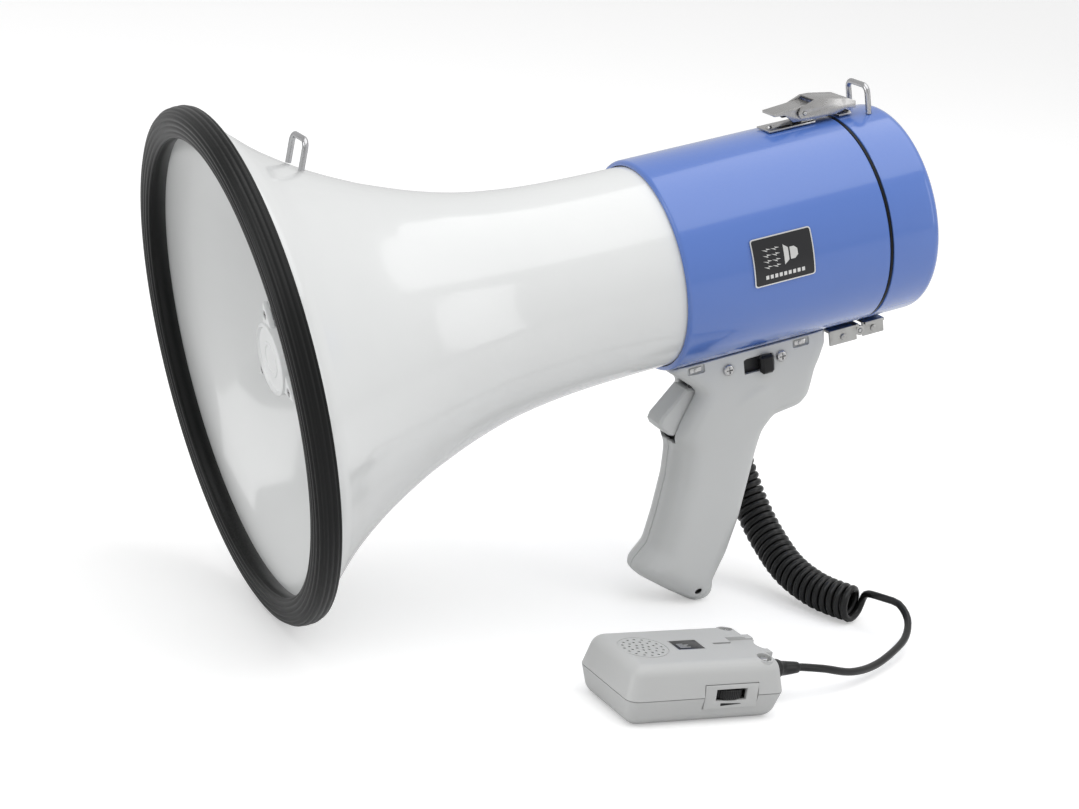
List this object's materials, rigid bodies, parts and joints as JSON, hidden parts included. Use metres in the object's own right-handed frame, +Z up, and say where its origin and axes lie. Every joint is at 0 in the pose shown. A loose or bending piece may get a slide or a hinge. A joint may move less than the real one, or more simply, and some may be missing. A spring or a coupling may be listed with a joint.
{
  "type": "handheld megaphone",
  "caption": "Battery megaphone with a flared reflex horn, pistol grip with trigger, latched rear cover and a corded hand microphone.",
  "frame": {"origin": "centre of the footprint on the surface it rests on, measured without the cord", "axes": "+X the way the horn points, +Y the megaphone's left, +Z up; the horn's axis is pitched 15.18 degrees nose down, because it rests on its rim and the heel of its grip"},
  "size_m": [0.362, 0.264, 0.2555],
  "materials": {
    "white_gloss": "gloss",
    "blue_gloss": "gloss",
    "grey_plastic": "satin",
    "black_rubber": "matte",
    "black_plastic": "satin",
    "bright_steel": "polished",
    "brushed_steel": "brushed",
    "label_black": "satin",
    "circuit_green": "satin",
    "cell_wrap": "satin",
    "magnet_dark": "matte"
  },
  "bodies": {
    "megaphone": {"horn_bell": "white_gloss", "throat_reflector": "white_gloss", "inner_horn": "white_gloss", "driver_housing": "white_gloss", "driver_cap": "white_gloss", "body_barrel": "blue_gloss", "handle_shell_left": "grey_plastic", "handle_shell_right": "grey_plastic", "mic_shell_top": "grey_plastic", "mic_shell_bottom": "grey_plastic", "mic_side_frame": "grey_plastic", "rim_bumper": "black_rubber", "seam_gasket": "black_rubber", "handle_cord_gland": "black_rubber", "mic_cord_relief": "black_rubber", "cord_lead": "black_rubber", "cord_coil": "black_rubber", "cord_tail": "black_rubber", "battery_sleeve": "black_plastic", "slide_switch_body": "black_plastic", "trigger_switch": "black_plastic", "front_strap_loop": "bright_steel", "latch_pivot_pin": "bright_steel", "hinge_pin": "bright_steel", "switch_screw_front": "bright_steel", "switch_screw_rear": "bright_steel", "handle_screw_upper": "bright_steel", "handle_screw_lower": "bright_steel", "trigger_pin": "bright_steel", "trigger_spring": "bright_steel", "mic_screw_left": "bright_steel", "mic_screw_right": "bright_steel", "latch_base": "brushed_steel", "hinge_leaf_body": "brushed_steel", "label_plate": "label_black", "amplifier_board": "circuit_green", "mic_board": "circuit_green", "driver_diaphragm": "cell_wrap", "battery_cell_1": "cell_wrap", "battery_cell_2": "cell_wrap", "battery_cell_3": "cell_wrap", "battery_cell_4": "cell_wrap", "battery_cell_5": "cell_wrap", "battery_cell_6": "cell_wrap", "mic_capsule": "cell_wrap", "driver_magnet": "magnet_dark"},
    "cover": {"rear_cover": "blue_gloss", "contact_plate": "circuit_green", "rear_strap_loop": "bright_steel", "latch_catch": "brushed_steel", "hinge_leaf_cover": "brushed_steel"},
    "latch_lever_body": {"latch_lever": "brushed_steel", "latch_link_pin": "bright_steel"},
    "latch_hook_body": {"latch_hook": "brushed_steel"},
    "trigger_body": {"trigger": "grey_plastic"},
    "switch_knob": {"slide_switch_knob": "black_plastic"},
    "volume_wheel": {"mic_volume_wheel": "black_plastic"},
    "talk_key": {"mic_talk_key": "black_plastic"}
  },
  "joints": [
    {"name": "cover_hinge", "type": "hinge", "parent": "megaphone", "child": "cover", "pos_m": [-0.1572, -0.017, 0.13895], "axis": [0, -1, 0], "range_deg": [0, 110]},
    {"name": "latch_lever", "type": "hinge", "parent": "megaphone", "child": "latch_lever_body", "pos_m": [-0.11575, -0.017, 0.23826], "axis": [0, -1, 0], "range_deg": [0, 90]},
    {"name": "latch_hook", "type": "hinge", "parent": "latch_lever_body", "child": "latch_hook_body", "pos_m": [-0.1123, -0.017, 0.2395], "axis": [0, -1, 0], "range_deg": [-112.5, 0]},
    {"name": "talk_trigger", "type": "hinge", "parent": "megaphone", "child": "trigger_body", "pos_m": [-0.08047, -0.017, 0.10363], "axis": [0, 1, 0], "range_deg": [0, 8], "stiffness_Nm_per_rad": 0.12, "springref_deg": -17.19},
    {"name": "power_slide", "type": "slide", "parent": "megaphone", "child": "switch_knob", "axis": [0.9651, 0, -0.2618], "range_m": [0, 0.007]},
    {"name": "volume_turn", "type": "hinge", "parent": "megaphone", "child": "volume_wheel", "pos_m": [-0.03575, 0.12261, 0.0133], "axis": [0, 0, 1], "range_deg": [-135, 135]},
    {"name": "talk_press", "type": "slide", "parent": "megaphone", "child": "talk_key", "axis": [-0.0349, 0.9994, 0], "range_m": [0, 0.002], "stiffness_N_per_m": 800, "springref_m": -0.002}
  ],
  "couplings": [
    {"joint": "latch_hook", "follows": "latch_lever", "ratio": -1.25}
  ]
}
